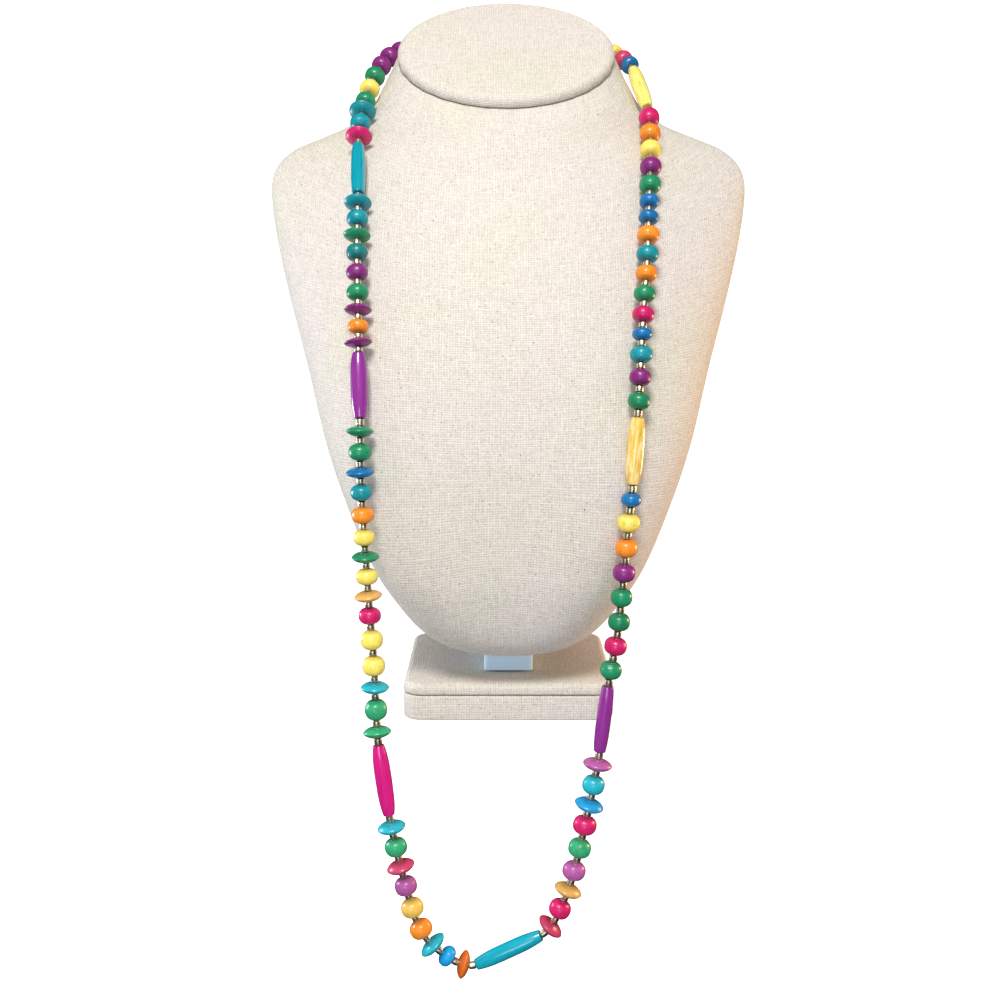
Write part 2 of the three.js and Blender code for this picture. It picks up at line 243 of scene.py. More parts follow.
def close_up(piece):
    """Merges the doubled points of seams and poles, and turns the faces outwards."""
    shape = bmesh.new()
    shape.from_mesh(piece.data)
    bmesh.ops.remove_doubles(shape, verts=shape.verts, dist=1e-7)
    bmesh.ops.dissolve_degenerate(shape, dist=1e-8, edges=shape.edges)
    if shape.calc_volume(signed=True) < 0:
        bmesh.ops.reverse_faces(shape, faces=shape.faces)
    shape.to_mesh(piece.data)
    shape.free()
    piece.data.shade_smooth()
    return piece


def grid_faces(rows, columns):
    """Quads between a grid's neighbouring points."""
    index = np.arange(rows * columns).reshape(rows, columns)
    corners = [index[:-1, :-1], index[:-1, 1:], index[1:, 1:], index[1:, :-1]]
    return np.stack(corners, -1).reshape(-1, 4)


def wrapped_faces(bodies, steps, sides):
    """Quads over grids of steps by sides, one for each body, that close on themselves both ways."""
    counts = (np.arange(n) for n in (bodies, steps, sides))
    body, step, side = np.meshgrid(*counts, indexing="ij")

    def at(s, k):
        return (body * steps + (step + s) % steps) * sides + (side + k) % sides

    return np.stack([at(0, 0), at(0, 1), at(1, 1), at(1, 0)], -1).reshape(-1, 4)


def covered_grid(name, points, cloth):
    """A closed surface from a grid of points, rows by columns, whose last column repeats the
    first. cloth gives each grid point's place on the flat cloth, in millimetres."""
    faces = grid_faces(*points.shape[:2])
    piece = write_mesh(name, points, faces, cloth.reshape(-1, 2)[faces.ravel()])
    return close_up(piece)


def turned_pieces(name, profile, place, along, sides, swell=None, colours=None):
    """Solids of revolution with a bore, all in one mesh.

    profile is bodies by steps by 2: distance from the axis and place along it, as one closed
    line round the wall. Point (step, side) lies at place + along * axial + radius * (u * cos a +
    v * sin a), where u and v square to along. swell adds to the radius at each point."""
    bodies, steps = profile.shape[:2]
    angle = np.arange(sides) * 2 * np.pi / sides
    radius = np.repeat(profile[:, :, None, 0], sides, 2)
    if swell is not None:
        radius = radius + swell
    axial = np.repeat(profile[:, :, None, 1], sides, 2)
    away = np.where(np.abs(along[:, :1]) < 0.9, [[1.0, 0, 0]], [[0, 1.0, 0]])
    u = unit(np.cross(along, away))
    v = np.cross(along, u)
    local = np.stack([radius * np.cos(angle), radius * np.sin(angle), axial], -1)
    points = place[:, None, None] + sum(
        local[..., k, None] * axis[:, None, None] for k, axis in enumerate((u, v, along))
    )
    piece = write_mesh(name, points, wrapped_faces(bodies, steps, sides))
    offset = rng.uniform(-50, 50, (bodies, 1, 1, 3))
    grain = piece.data.attributes.new("grain", "FLOAT_VECTOR", "POINT")
    grain.data.foreach_set("vector", (local + offset).astype(np.float32).ravel())
    level = np.abs(axial) / np.abs(profile[:, :, 1]).max(1)[:, None, None]
    ends = piece.data.attributes.new("ends", "FLOAT", "POINT")
    ends.data.foreach_set("value", level.astype(np.float32).ravel())
    if colours is not None:
        rgba = np.ones((bodies, steps * sides, 4))
        rgba[:, :, :3] = colours[:, None]
        dye = piece.data.attributes.new("dye", "FLOAT_COLOR", "POINT")
        dye.data.foreach_set("color", rgba.astype(np.float32).ravel())
    if piece.data.polygons[0].normal.dot(Vector((points[0, 0, 0] - place[0]) * MM)) < 0:
        piece.data.flip_normals()
    return piece


def unit(vectors):
    """Vectors brought to length 1."""
    return vectors / np.linalg.norm(vectors, axis=-1, keepdims=True)


def lengths_along(points, axis):
    """Distance walked along one axis of a grid of points, starting at 0."""
    steps = np.linalg.norm(np.diff(points, axis=axis), axis=-1)
    start = np.zeros_like(np.take(steps, [0], axis))
    return np.concatenate([start, np.cumsum(steps, axis)], axis)


def cubic(a, b, c, d, t):
    """The cubic from b to c as t goes from 0 to 1. Its speed is half of c - a at b, and half of
    d - b at c, so that a row of points is joined smoothly."""
    into, out = (c - a) / 2, (d - b) / 2
    return b + t * (into + t * (3 * (c - b) - 2 * into - out + t * (2 * (b - c) + into + out)))


# ---------------------------------------------------------------------------- bust

def smooth_rows(table, positions):
    """A table's rows joined by one smooth curve, at these positions counted in rows."""
    last = len(table) - 1
    row = np.clip(np.floor(positions).astype(int), 0, last - 1)
    t = (positions - row)[:, None]
    return cubic(*(table[np.clip(row + k, 0, last)] for k in (-1, 0, 1, 2)), t)


def bust_points(rows, angles):
    """Points of the bust's sections. Across, a point lies at half the width times the cosine to
    the power 2 / squareness, and in depth at the reach times the sine to the same power. The
    ridge share of the front's reach is (1 - across squared) squared. The height rises evenly
    from the section's front to its back."""
    z_front, z_back, y_front, y_wide, y_back, half, square_front, square_back, ridge, lean = (
        rows[:, k, None] for k in range(rows.shape[1])
    )
    cos, sin = np.cos(angles), np.sin(angles)
    back = sin > 0
    power = 2 / np.where(back, square_back, square_front)
    across = np.sign(cos) * np.abs(cos) ** power
    oval = np.abs(sin) ** power
    front = (1 - ridge) * oval + ridge * (1 - across ** 2) ** 2
    y = y_wide + np.where(back, (y_back - y_wide) * oval, (y_front - y_wide) * front)
    z = z_front + (z_back - z_front) / (y_back - y_front) * (y - y_front)
    return np.stack([lean + half * across, y, z], -1)


def even_rings(rows, columns):
    """The bust's sections with their points evenly spaced, from the middle of the back."""
    fine = np.linspace(np.pi / 2, -1.5 * np.pi, 3001)
    walked = lengths_along(bust_points(rows, fine[None]), 1)
    share = np.linspace(0, 1, columns + 1)
    angles = np.array([np.interp(share * w[-1], w, fine) for w in walked])
    return bust_points(rows, angles)


def shrunk(ring, shares):
    """Copies of a ring drawn in towards its middle."""
    middle = ring[:-1].mean(0)
    return middle + np.asarray(shares)[:, None, None] * (ring - middle)


def bust_cover():
    """The bust as a loft of its sections, drawn in to a point at both ends. The cloth's threads
    lie along true lengths: across from the front's middle along each section, and up from the
    chest along each column, evened out so that the top row follows the neck's edge, and tucked
    in over both ends."""
    steps, columns = 13, 300
    tucked = 35
    count = (len(BUST_SECTIONS) - 1) * steps + 1
    sections = smooth_rows(BUST_SECTIONS, np.linspace(0, len(BUST_SECTIONS) - 1, count))
    wall = even_rings(sections, columns)
    across = lengths_along(wall, 1)
    across = across - across[:, -1:] / 2
    chest = CHEST_SECTION * steps
    up = lengths_along(wall, 0)
    up = up - up[chest]
    for half in (slice(None, chest), slice(chest + 1, None)):
        end = up[0] if half.start is None else up[-1]
        up[half] *= end.mean() / end
    shares = np.array([0.02, 0.35, 0.7, 0.9])
    under, over = shrunk(wall[0], shares), shrunk(wall[-1], shares[::-1])
    under_up = up[0] - (1 - shares[:, None]) * tucked
    over_up = up[-1] + (1 - shares[::-1, None]) * tucked
    points = np.concatenate([shrunk(wall[0], [0]), under, wall, over, shrunk(wall[-1], [0])])
    in_across = [shares[:1, None] * across[0], shares[:, None] * across[0], across,
                 shares[::-1, None] * across[-1], shares[:1, None] * across[-1]]
    in_up = [under_up[:1], under_up, up, over_up, over_up[-1:]]
    cloth = np.stack([np.concatenate(in_across), np.concatenate(in_up)], -1)
    return covered_grid("bust_cover", points, cloth)


def cap_cover():
    """The padded lid of the neck: a crowned disc with a rolled edge, drawn out to an oval and
    tilted onto the neck's slanted top. Its profile runs from the middle of its underside round
    the roll to the crown, and the cloth is laid out from the crown's middle. Sine waves pucker
    it round the seam."""
    top = BUST_SECTIONS[-1]
    rise, depth = top[1] - top[0], top[4] - top[2]
    slant, half_length, radius = math.atan2(rise, depth), math.hypot(rise, depth) / 2, top[5]
    low, high = CAP_ROLL_UNDER, CAP_ROLL_OVER
    under = np.linspace(-np.pi / 2, 0, 9)
    over = -under[::-1]
    roll_r = np.concatenate([low * np.cos(under) - low, high * np.cos(over) - high]) + radius
    roll_h = np.concatenate([low * np.sin(under) + low,
                             high * np.sin(over) + CAP_THICKNESS - high])
    flat_r = np.array([0, 0.3, 0.6, 0.85]) * radius
    crown_r = np.linspace(radius - high, 0, 26)[1:]
    crown_h = CAP_THICKNESS + CAP_CROWN * (1 - (crown_r / (radius - high)) ** 2)
    r = np.concatenate([flat_r, roll_r, crown_r])
    h = np.concatenate([0 * flat_r, roll_h, crown_h])
    laid = np.concatenate([np.cumsum(np.hypot(np.diff(r[::-1]), np.diff(h[::-1])))[::-1], [0]])
    angle = np.linspace(0, 2 * np.pi, 241)
    pucker = 0.12 * np.sin(23 * angle + 1.1) * np.sin(5 * angle) + 0.1 * np.sin(31 * angle)
    seam_height, seam_spread, rim = 1.2, 1.4, 4
    edge = np.exp(-((h - seam_height) / seam_spread) ** 2) * (r > radius - rim)
    reach = r[:, None] + edge[:, None] * pucker
    flat_x, flat_y = reach * np.cos(angle), reach * np.sin(angle) * half_length / radius
    normal = np.array([0, -math.sin(slant), math.cos(slant)])
    middle = np.array([top[9], (top[2] + top[4]) / 2, (top[0] + top[1]) / 2]) + GAP * normal
    points = (middle + flat_x[..., None] * [1, 0, 0]
              + flat_y[..., None] * [0, math.cos(slant), math.sin(slant)]
              + h[:, None, None] * normal)
    cloth = laid[:, None, None] * np.stack([np.cos(angle), np.sin(angle)], -1)
    return covered_grid("cap_cover", points, cloth)


# ---------------------------------------------------------------------------- base

def rounded_outline(width, depth, corner, columns):
    """Evenly spaced points and outward directions round a rectangle with round corners, from
    the middle of its right side, and the distance walked to each point."""
    quarter = np.linspace(0, np.pi / 2, 25)
    centres = np.array([[1, 1], [-1, 1], [-1, -1], [1, -1]]) * [width / 2 - corner, depth / 2 - corner]
    turns = np.concatenate([quarter + k * np.pi / 2 for k in range(4)])
    facing = np.stack([np.cos(turns), np.sin(turns)], -1)
    line = np.repeat(centres, len(quarter), 0) + corner * facing
    start = np.array([[width / 2, 0]])
    line, facing = np.concatenate([start, line, start]), np.concatenate([[[1, 0]], facing, [[1, 0]]])
    walked = lengths_along(line, 0)
    at = np.linspace(0, walked[-1], columns + 1)
    points = np.stack([np.interp(at, walked, line[:, k]) for k in range(2)], -1)
    out = unit(np.stack([np.interp(at, walked, facing[:, k]) for k in range(2)], -1))
    return points, out, at


def low_box(node):
    """A CAD node's lowest and highest corners in millimetres."""
    low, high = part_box(node)
    return np.array(low) / MM, np.array(high) / MM


def middle_of(low, high):
    """The middle of a box in plan."""
    return np.append((low + high)[:2] / 2, 0)


def level(flat, z):
    """Points of a plane outline lifted to a height."""
    return np.concatenate([flat, np.full((len(flat), 1), z)], -1)


def slab_cover():
    """The covered board under the pad: its outline carried up a wall with small rounded edges.
    The cloth goes round the wall as a strip, and lies flat above and below."""
    low, high = low_box("base_slab")
    edge = SLAB_EDGE
    line, out, walked = rounded_outline(high[0] - low[0], high[1] - low[1], BASE_CORNER, 240)
    turn = np.linspace(0, np.pi / 2, 6)
    inset = np.concatenate([edge * (1 - np.sin(turn)), edge * (1 - np.cos(turn))])
    height = np.concatenate([low[2] + edge * (1 - np.cos(turn)), high[2] - edge * (1 - np.sin(turn))])
    wall = [level(line - i * out, z) for i, z in zip(inset, height)]
    strip = [np.stack([walked, np.full_like(walked, z)], -1) for z in height]
    inner = line - edge * out
    shares = [0, 0.3, 0.6, 0.85, 1]
    under = [level(inner * s, low[2]) for s in shares]
    over = [level(inner * s, high[2]) for s in shares[::-1]]
    cloth = [p[:, :2] for p in under] + strip + [p[:, :2] for p in over]
    points = np.stack(under + wall + over) + middle_of(low, high)
    return covered_grid("slab_cover", points, np.stack(cloth))


def pad_cover():
    """The padded top of the base: its outline carried round a full roll, then drawn in over a
    low crown to the middle. The cloth lies flat on top and is laid on outwards over the roll,
    and sine waves pucker its edge."""
    low, high = low_box("base_pad")
    line, out, walked = rounded_outline(high[0] - low[0], high[1] - low[1], BASE_CORNER, 280)
    line = line + out * (0.12 * np.sin(walked / 3.1) * np.sin(walked / 11.0))[:, None]
    top, tuck = high[2] - PAD_CROWN, PAD_TUCK
    over = np.linspace(0, np.pi / 2, 12)
    under = np.linspace(-np.pi / 2, 0, 8)[:-1]
    inset = np.concatenate([tuck * (1 - np.cos(under)), PAD_ROLL * (1 - np.cos(over))])
    height = np.concatenate([low[2] + tuck * (1 + np.sin(under)), top - PAD_ROLL * (1 - np.sin(over))])
    roll = [level(line - i * out, z) for i, z in zip(inset, height)]
    walk = np.concatenate([[0], np.cumsum(np.hypot(np.diff(inset), np.diff(height)))])
    inner = line - PAD_ROLL * out
    rolled = [inner + (walk[-1] - w) * out for w in walk]
    shares = np.linspace(1, 0, 24)[1:]
    lid = [level(inner * s, top + PAD_CROWN * (1 - s ** 2.5)) for s in shares]
    bottom = [level((line - tuck * out) * s, low[2]) for s in (0, 0.5, 0.9)]
    cloth = [p[:, :2] for p in bottom] + rolled + [p[:, :2] for p in lid]
    points = np.stack(bottom + roll + lid) + middle_of(low, high)
    return covered_grid("pad_cover", points, np.stack(cloth))


def support_block():
    """The painted block between base and bust: a rounded outline carried up with soft edges."""
    low, high = low_box("support_block")
    size = high - low
    line, out, _ = rounded_outline(size[0], size[1], BLOCK_CORNER, 96)
    turn = np.linspace(0, np.pi / 2, 6)
    inset = BLOCK_EDGE * np.concatenate([1 - np.sin(turn), 1 - np.cos(turn)])
    rise = BLOCK_EDGE * (1 - np.cos(turn))
    height = np.concatenate([low[2] + rise, high[2] - rise[::-1]])
    inner = line - BLOCK_EDGE * out
    rings = [level(inner * s, low[2]) for s in (0, 0.5, 0.95)]
    rings += [level(line - i * out, z) for i, z in zip(inset, height)]
    rings += [level(inner * s, high[2]) for s in (0.95, 0.5, 0)]
    points = np.stack(rings) + middle_of(low, high)
    return covered_grid("block", points, points[..., :2])


# ---------------------------------------------------------------------------- necklace

def closed_route():
    """The thread as one smooth closed line through every listed point, as fine points, the
    distance walked to each, and the distance at which each listed point lies."""
    listed = np.array([p for part in NECKLACE for p in part["ends"] + part["through"]], float)
    fine = 60
    t = (np.arange(fine) / fine)[None, :, None]
    curve = cubic(*(np.roll(listed, shift, 0)[:, None] for shift in (1, 0, -1, -2)), t)
    points = np.concatenate([curve.reshape(-1, 3), listed[:1]])
    walked = lengths_along(points, 0)
    return points, walked, walked[::fine]


ROUTE, WALKED, LISTED_AT = closed_route()


def on_thread(distance):
    """Points of the thread at these distances."""
    distance = np.mod(distance, WALKED[-1])
    return np.stack([np.interp(distance, WALKED, ROUTE[:, k]) for k in range(3)], -1)


def bead_profile(radius, half, across, along):
    """A bead's wall as a closed line. Outside, the distance from the axis is the radius times
    the cosine to the power across, and the place along it half the length times the sine to the
    power along, from the bore's edge below to its edge above, with a shallow dimple round the
    hole. Then it goes back down the bore."""
    outside, inside = 30, 6
    end = np.arccos((BEAD_BORE / radius) ** (1 / across))
    turn = np.linspace(-1, 1, outside)[None] * end[:, None]
    r = radius[:, None] * np.cos(turn) ** across[:, None]
    y = half[:, None] * np.sign(turn) * np.abs(np.sin(turn)) ** along[:, None]
    near_hole = np.clip(1 - (r - BEAD_BORE) / BEAD_DIMPLE_WIDTH, 0, 1)
    y = y - np.sign(turn) * BEAD_DIMPLE * near_hole ** 2
    down = np.linspace(1, -1, inside + 2)[None, 1:-1] * y[:, -1:]
    r = np.concatenate([r, np.full_like(down, BEAD_BORE)], 1)
    return np.stack([r, np.concatenate([y, down], 1)], -1)


def handmade_swell(profile, sides, lump, dent, dents=4):
    """How far each point of a hand-finished bead stands out: slow lumps round it, and a few
    shallow dents, each a bell curve round its own direction. The bore keeps its shape."""
    bodies, steps = profile.shape[:2]
    angle = (np.arange(sides) * 2 * np.pi / sides)[None, None]
    phase = rng.uniform(0, 2 * np.pi, (3, bodies, 1, 1))
    r, y = profile[..., 0, None], profile[..., 1, None]
    lean = y / np.abs(profile[..., 1]).max(1)[:, None, None]
    swell = (np.cos(2 * angle + phase[0]) + 0.6 * np.cos(3 * angle + phase[1] + lean)
             + 0.5 * np.cos(5 * angle + phase[2] - 2 * lean)) * lump * r
    facing = unit(np.stack([r * np.cos(angle), r * np.sin(angle), y + 0 * angle], -1))
    for _ in range(dents):
        spot = unit(rng.normal(size=(bodies, 1, 1, 3)))
        wide = rng.uniform(0.12, 0.34, (bodies, 1, 1))
        deep = dent * rng.uniform(0, 1, (bodies, 1, 1)) ** 2
        swell = swell - deep * np.exp(-((facing - spot) ** 2).sum(-1) / wide ** 2)
    outside = np.clip((r - BEAD_BORE) / 1.5, 0, 1)
    return swell * outside


def linear(colour):
    """An sRGB colour as linear light."""
    colour = np.asarray(colour, float)
    return np.where(colour <= 0.04045, colour / 12.92, ((colour + 0.055) / 1.055) ** 2.4)


def leaning(along, spread):
    """Directions turned a little off the thread, each its own way."""
    return unit(along + rng.normal(0, 1, along.shape) * np.asarray(spread)[..., None])


def strand(part, start, end, tube_before, tube_after):
    """One stretch: its beads, and a spacer before, between and after them. A place at a share s of
    the listed lengths lies at s + crowd * s * (1 - s) squared of the way between the tubes."""
    kinds, dyes = zip(*(bead.split(":") for bead in part["beads"].split()))
    radius, length, *powers = (np.array(v, float) for v in zip(*(BEAD_KINDS[k] for k in kinds)))
    foot = SPACER_LENGTH * np.arange(1, len(kinds) + 1) + np.cumsum(length) - length
    share = np.stack([foot, foot + length]) / (foot[-1] + length[-1] + SPACER_LENGTH)
    share = share + part.get("crowd", 0) * share * (1 - share) ** 2
    lower, upper = on_thread(start + GAP + (end - start - 2 * GAP) * share)
    half = np.linalg.norm(upper - lower, axis=1) / 2
    plump = part.get("plump", 1)
    radius = radius * plump * rng.normal(1, 0.02, len(kinds))
    profile = bead_profile(radius, half * 1.02 * plump, *powers)
    sides = 48
    is_disc = np.array(kinds) == "d"
    lump, dent, lean = np.where(is_disc, DISC_FINISH[:, None], ROUND_FINISH[:, None])
    swell = handmade_swell(profile, sides, lump[:, None, None], dent[:, None, None])
    along = leaning(unit(upper - lower), lean)
    colours = linear([DYES[d] for d in dyes]) * rng.normal(1, 0.05, (len(kinds), 1))
    beads = turned_pieces("beads_" + part["stretch"], profile, (lower + upper) / 2, along, sides,
                          swell, np.clip(colours, 0, 1))
    ends_a = np.concatenate([[tube_before], upper])
    ends_b = np.concatenate([lower, [tube_after]])
    return beads, spacers(part["stretch"], ends_a, ends_b)


def spacers(stretch, a, b):
    """Brass spacers: short barrels with rounded lips and a bore, each standing between a and b."""
    count = len(a)
    slack, belly = 0.04, 0.14
    half = np.linalg.norm(b - a, axis=1) / 2 - slack
    lip = SPACER_LIP
    turn = np.linspace(0, np.pi / 2, 5)
    side = np.linspace(-1, 1, 7)[None] * (half - lip)[:, None]
    bulge = SPACER_RADIUS - belly * (side / half[:, None]) ** 2
    edge = bulge[:, -1:]
    up_r = edge - lip + lip * np.cos(turn)[None]
    up_y = (half - lip)[:, None] + lip * np.sin(turn)[None]
    bore = np.full((count, 2), SPACER_BORE)
    r = np.concatenate([up_r[:, ::-1], bulge[:, 1:-1], up_r, bore], 1)
    bore_y = np.stack([half - 0.1, 0.1 - half], 1)
    y = np.concatenate([-up_y[:, ::-1], side[:, 1:-1], up_y, bore_y], 1)
    profile = np.stack([r * rng.normal(1, 0.02, (count, 1)), y], -1)
    along = leaning(unit(b - a), np.full(count, 0.03))
    return turned_pieces("spacers_" + stretch, profile, (a + b) / 2, along, 28)


def tube_bead(part):
    """A tube bead: a barrel whose radius falls off with the distance from its middle to the
    power TUBE_FULLNESS, with rounded lips, a bore and a slightly oval, wavy section."""
    a, b = (np.array([p], float) for p in part["ends"])
    half = np.linalg.norm(b - a) / 2
    lip = TUBE_LIP
    share = np.linspace(-1, 1, 41)
    wall_y = share * (half - lip)
    slim = 1 - TUBE_END_RADIUS / part["radius"]
    wall_r = part["radius"] * (1 - slim * np.abs(share) ** TUBE_FULLNESS)
    turn = np.linspace(0, np.pi / 2, 6)[1:]
    lip_r = wall_r[-1] - lip + lip * np.cos(turn)
    lip_y = half - lip + lip * np.sin(turn)
    face_r = np.linspace(lip_r[-1], TUBE_BORE, 4)[1:]
    face_y = half - 0.12 * np.linspace(0, 1, 4)[1:] ** 2
    bore_y = np.linspace(face_y[-1], -face_y[-1], 14)[1:-1]
    r = np.concatenate([face_r[::-1], lip_r[::-1], wall_r, lip_r, face_r, np.full(12, TUBE_BORE)])
    y = np.concatenate([-face_y[::-1], -lip_y[::-1], wall_y, lip_y, face_y, bore_y])
    profile = np.stack([r, y], -1)[None]
    sides = 72
    swell = handmade_swell(profile, sides, 0.008, 0.12)
    colours = linear([DYES[part["dye"]]])
    return turned_pieces(part["tube"].replace("tube", "tube_bead"), profile, (a + b) / 2,
                         unit(b - a), sides, swell, colours)


def thread():
    """The thread: one closed round tube along its whole way."""
    steps, sides = 1100, 8
    line = on_thread(np.arange(steps) / steps * WALKED[-1])
    along = unit(np.roll(line, -1, 0) - np.roll(line, 1, 0))
    u = unit(np.cross(along, [[0.3, 0.2, 1.0]]))
    v = np.cross(along, u)
    angle = np.arange(sides) * 2 * np.pi / sides
    ring = np.cos(angle)[None, :, None] * u[:, None] + np.sin(angle)[None, :, None] * v[:, None]
    points = line[:, None] + THREAD_RADIUS * ring
    return close_up(write_mesh("thread", points, wrapped_faces(1, steps, sides)))


# ---------------------------------------------------------------------------- materials

class Wire:
    """An output socket. + - * / and abs, and the named functions on it, add nodes."""

    def __init__(self, recipe, socket):
        self.recipe, self.socket = recipe, socket

    def math(self, operation, *others):
        return self.recipe.node("Math", {"operation": operation}, dict(enumerate([self, *others])))

    def __add__(self, other):
        return self.math("ADD", other)

    def __sub__(self, other):
        return self.math("SUBTRACT", other)

    def __rsub__(self, other):
        return self.recipe.node("Math", {"operation": "SUBTRACT"}, {0: other, 1: self})

    def __mul__(self, other):
        return self.math("MULTIPLY", other)

    def __truediv__(self, other):
        return self.math("DIVIDE", other)

    def __abs__(self):
        return self.math("ABSOLUTE")

    __radd__, __rmul__ = __add__, __mul__

    def most(self, other):
        return self.math("MAXIMUM", other)

    def between(self, low, high):
        """0 at low, 1 at high, and clamped outside."""
        return self.recipe.node("MapRange", {}, {0: self, 1: low, 2: high})


def socket_name(word):
    """specular_ior_level as Specular IOR Level."""
    return word.replace("_", " ").title().replace("Ior", "IOR")


class Recipe:
    """One material: a Principled shader and the nodes that feed it."""

    def __init__(self, name, **uniform):
        self.material = bpy.data.materials.new(name)
        self.material.use_nodes = True
        self.nodes, self.links = self.material.node_tree.nodes, self.material.node_tree.links
        self.shader = self.nodes["Principled BSDF"]
        for socket, value in uniform.items():
            self.shader.inputs[socket_name(socket)].default_value = value

    def node(self, kind, settings, inputs, output=0):
        """Adds a node: its settings first, then its sockets' values or links."""
        node = self.nodes.new("ShaderNode" + kind)
        for setting, value in settings.items():
            setattr(node, setting, value)
        for socket, value in inputs.items():
            if isinstance(value, Wire):
                self.links.new(value.socket, node.inputs[socket])
            else:
                node.inputs[socket].default_value = value
        return Wire(self, node.outputs[output])

    def noise(self, vector, scale, detail=2.0, roughness=0.5):
        """Soft noise, mostly from 0.2 to 0.8. The scale counts its lumps in one unit."""
        settings = {"noise_dimensions": "3D"}
        inputs = {"Vector": vector, "Scale": scale, "Detail": detail, "Roughness": roughness}
        return self.node("TexNoise", settings, inputs)

    def parts(self, vector):
        """The X, Y and Z of a vector."""
        return [self.node("SeparateXYZ", {}, {0: vector}, k) for k in range(3)]

    def joined(self, x, y, z=0.0):
        """A vector from three values."""
        return self.node("CombineXYZ", {}, {0: x, 1: y, 2: z})

    def blend(self, share, a, b, how="MIX"):
        """Colour a going over to colour b as share goes from 0 to 1."""
        settings = {"data_type": "RGBA", "blend_type": how, "clamp_factor": True}
        a, b = (c if isinstance(c, Wire) else (*c, 1) for c in (a, b))
        return self.node("Mix", settings, {0: share, 6: a, 7: b}, 2)

    def feed(self, **wires):
        """Links outputs to the shader's sockets of these names."""
        for socket, wire in wires.items():
            self.links.new(wire.socket, self.shader.inputs[socket_name(socket)])

    def bump(self, height, distance, strength=1.0):
        """Raises the surface by a height from 0 to 1 times a distance in metres."""
        inputs = {"Height": height, "Distance": distance, "Strength": strength}
        self.feed(normal=self.node("Bump", {}, inputs))


def linen(name):
    """Plain-woven ecru linen. Warp and weft are sine waves one thread wide, and each goes over
    the other in turn: the warp's height is its own wave times (1 + the weft's wave) / 2, and the
    weft's the same with the wave turned over. Thick and thin yarns, slubs and dark flecks vary
    the threads, painted shade darkens the hollows between them, and the cloth is a little
    yellowed in broad patches."""
    recipe = Recipe(name, roughness=0.92, specular_ior_level=0.2)
    cloth = recipe.node("UVMap", {"uv_map": "cloth"}, {})
    across, up, _ = recipe.parts(cloth)
    sway = recipe.noise(cloth, 0.03, 1.0)
    wander = recipe.noise(recipe.joined(across * 0.5, up * 0.05), 1.0, 1.0)
    drift = recipe.noise(recipe.joined(across * 0.05, up * 0.5, 5.0), 1.0, 1.0)
    warp = across / WEAVE + sway * 1.2 + wander * 0.9
    weft = up / WEAVE - sway * 1.2 + drift * 0.8
    warp_wave = (warp * math.pi).math("SINE")
    weft_wave = (weft * math.pi).math("SINE")
    warp_yarn = recipe.noise(recipe.joined(warp.math("FLOOR") * 3.7, up * 0.16), 1.0, 2.0)
    weft_yarn = recipe.noise(recipe.joined(across * 0.16, weft.math("FLOOR") * 3.7, 9.0), 1.0, 2.0)
    over = warp_wave * weft_wave
    warp_height = abs(warp_wave) * (0.5 + 0.5 * over) * (0.5 + 0.9 * warp_yarn)
    weft_height = abs(weft_wave) * (0.5 - 0.5 * over) * (0.62 + 0.9 * weft_yarn)
    height = warp_height.most(weft_height)
    on_top = (warp_height - weft_height).between(-0.05, 0.05)
    yarn = on_top * warp_yarn + (1 - on_top) * weft_yarn
    fuzz = recipe.noise(cloth, 2.2, 2.0)
    colour = recipe.blend(yarn.between(0.34, 0.66), LINEN_FAWN, LINEN_PALE)
    uneven = recipe.noise(cloth, 0.7, 2.0).between(0.3, 0.7)
    # painted shade: the colour darkens where the threads sink into the hollows between them
    colour = recipe.blend(height.between(0.6, 0.15) * (0.1 + uneven * 0.7), colour, LINEN_HOLLOW_SHADE)
    aged = recipe.noise(cloth, 0.016, 2.0)
    colour = recipe.blend(aged.between(0.4, 0.62), colour, (0.97, 1.0, 0.93), "MULTIPLY")
    specks = recipe.noise(recipe.joined(across * 1.0, up * 0.8, 4.0), 1.0, 1.0)
    colour = recipe.blend(specks.between(0.66, 0.75) * 0.55, colour, LINEN_SPECK)
    recipe.feed(base_color=colour)
    recipe.bump(height * 0.9 + fuzz * 0.15, 0.16 * MM, 0.8)
    return recipe.material


def dyed_bead():
    """Dyed wood and bone, satin from handling. The dye is deeper in patches, with fine grain along
    the thread, tiny pits and rubbed scratches, and painted shade darkens the bead by its holes."""
    recipe = Recipe("dyed_bead", specular_ior_level=0.42, coat_roughness=0.15)
    dye = recipe.node("Attribute", {"attribute_name": "dye"}, {})
    grain = recipe.node("Attribute", {"attribute_name": "grain"}, {}, 1)
    ends = recipe.node("Attribute", {"attribute_name": "ends"}, {}, 2)
    x, y, z = recipe.parts(grain)
    streaks = recipe.noise(recipe.joined(x * 2.6, y * 2.6, z * 0.35), 1.0, 3.0, 0.6)
    clouds = recipe.noise(grain, 0.32, 2.0)
    pits = recipe.noise(grain, 3.0, 2.0)
    scuffs = recipe.noise(recipe.joined(x * 0.9, y * 0.9, z * 5.5), 1.0, 3.0, 0.65)
    deep = recipe.blend(1.0, dye, (0.55, 0.50, 0.55), "MULTIPLY")
    thin = recipe.blend(1.0, dye, (1.30, 1.25, 1.20), "MULTIPLY")
    colour = recipe.blend(streaks.between(0.34, 0.68), deep, thin)
    colour = recipe.blend(0.66, colour, dye)
    colour = recipe.blend(clouds.between(0.42, 0.28) * 0.5, colour, deep)
    pitted = pits.between(0.63, 0.72)
    scuffed = scuffs.between(0.64, 0.74)
    # painted shade: the colour darkens towards the holes, where each bead meets its spacers
    colour = recipe.blend(ends.between(0.62, 1.0) * 0.85, colour, deep)
    colour = recipe.blend(pitted * 0.6, colour, deep)
    colour = recipe.blend(scuffed * 0.12, colour, (0.9, 0.86, 0.8))
    recipe.feed(base_color=colour, roughness=0.32 + streaks * 0.14 + scuffed * 0.15,
                coat_weight=0.18 + clouds.between(0.3, 0.7) * 0.3)
    recipe.bump(streaks * 0.35 - pitted * 0.9 + scuffs * 0.25, 0.08 * MM, 0.8)
    return recipe.material


